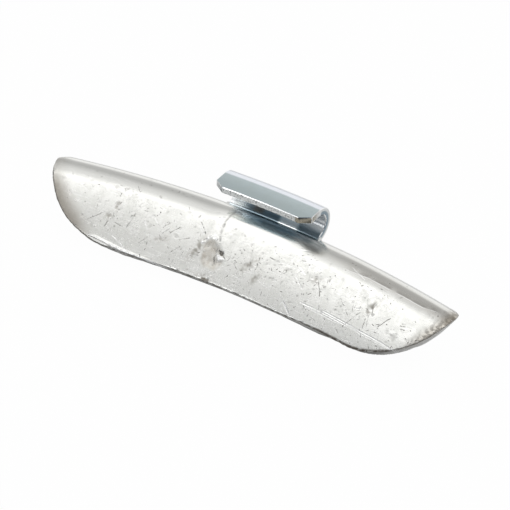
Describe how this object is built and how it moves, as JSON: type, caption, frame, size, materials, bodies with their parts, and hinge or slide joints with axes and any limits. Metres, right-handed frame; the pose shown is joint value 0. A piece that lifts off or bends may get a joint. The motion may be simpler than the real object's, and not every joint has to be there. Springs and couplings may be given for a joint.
{
  "type": "wheel balance weight",
  "caption": "Curved cast lead wheel balance weight with a bent spring-steel clip, cast into its crown, that grips the edge of a wheel rim.",
  "frame": {"origin": "on the flat outboard base, midway along the weight", "axes": "+X along the weight, +Y away from the wheel's axle, +Z inboard, up from the base the weight lies on"},
  "size_m": [0.0796, 0.0181, 0.0145],
  "materials": {
    "lead": "bright cast lead, smooth, scuffed and dented",
    "clip_steel": "zinc-plated spring steel, satin, sheared edges"
  },
  "bodies": {
    "root": {"cast_body": "lead", "spring_clip": "clip_steel"}
  },
  "joints": []
}
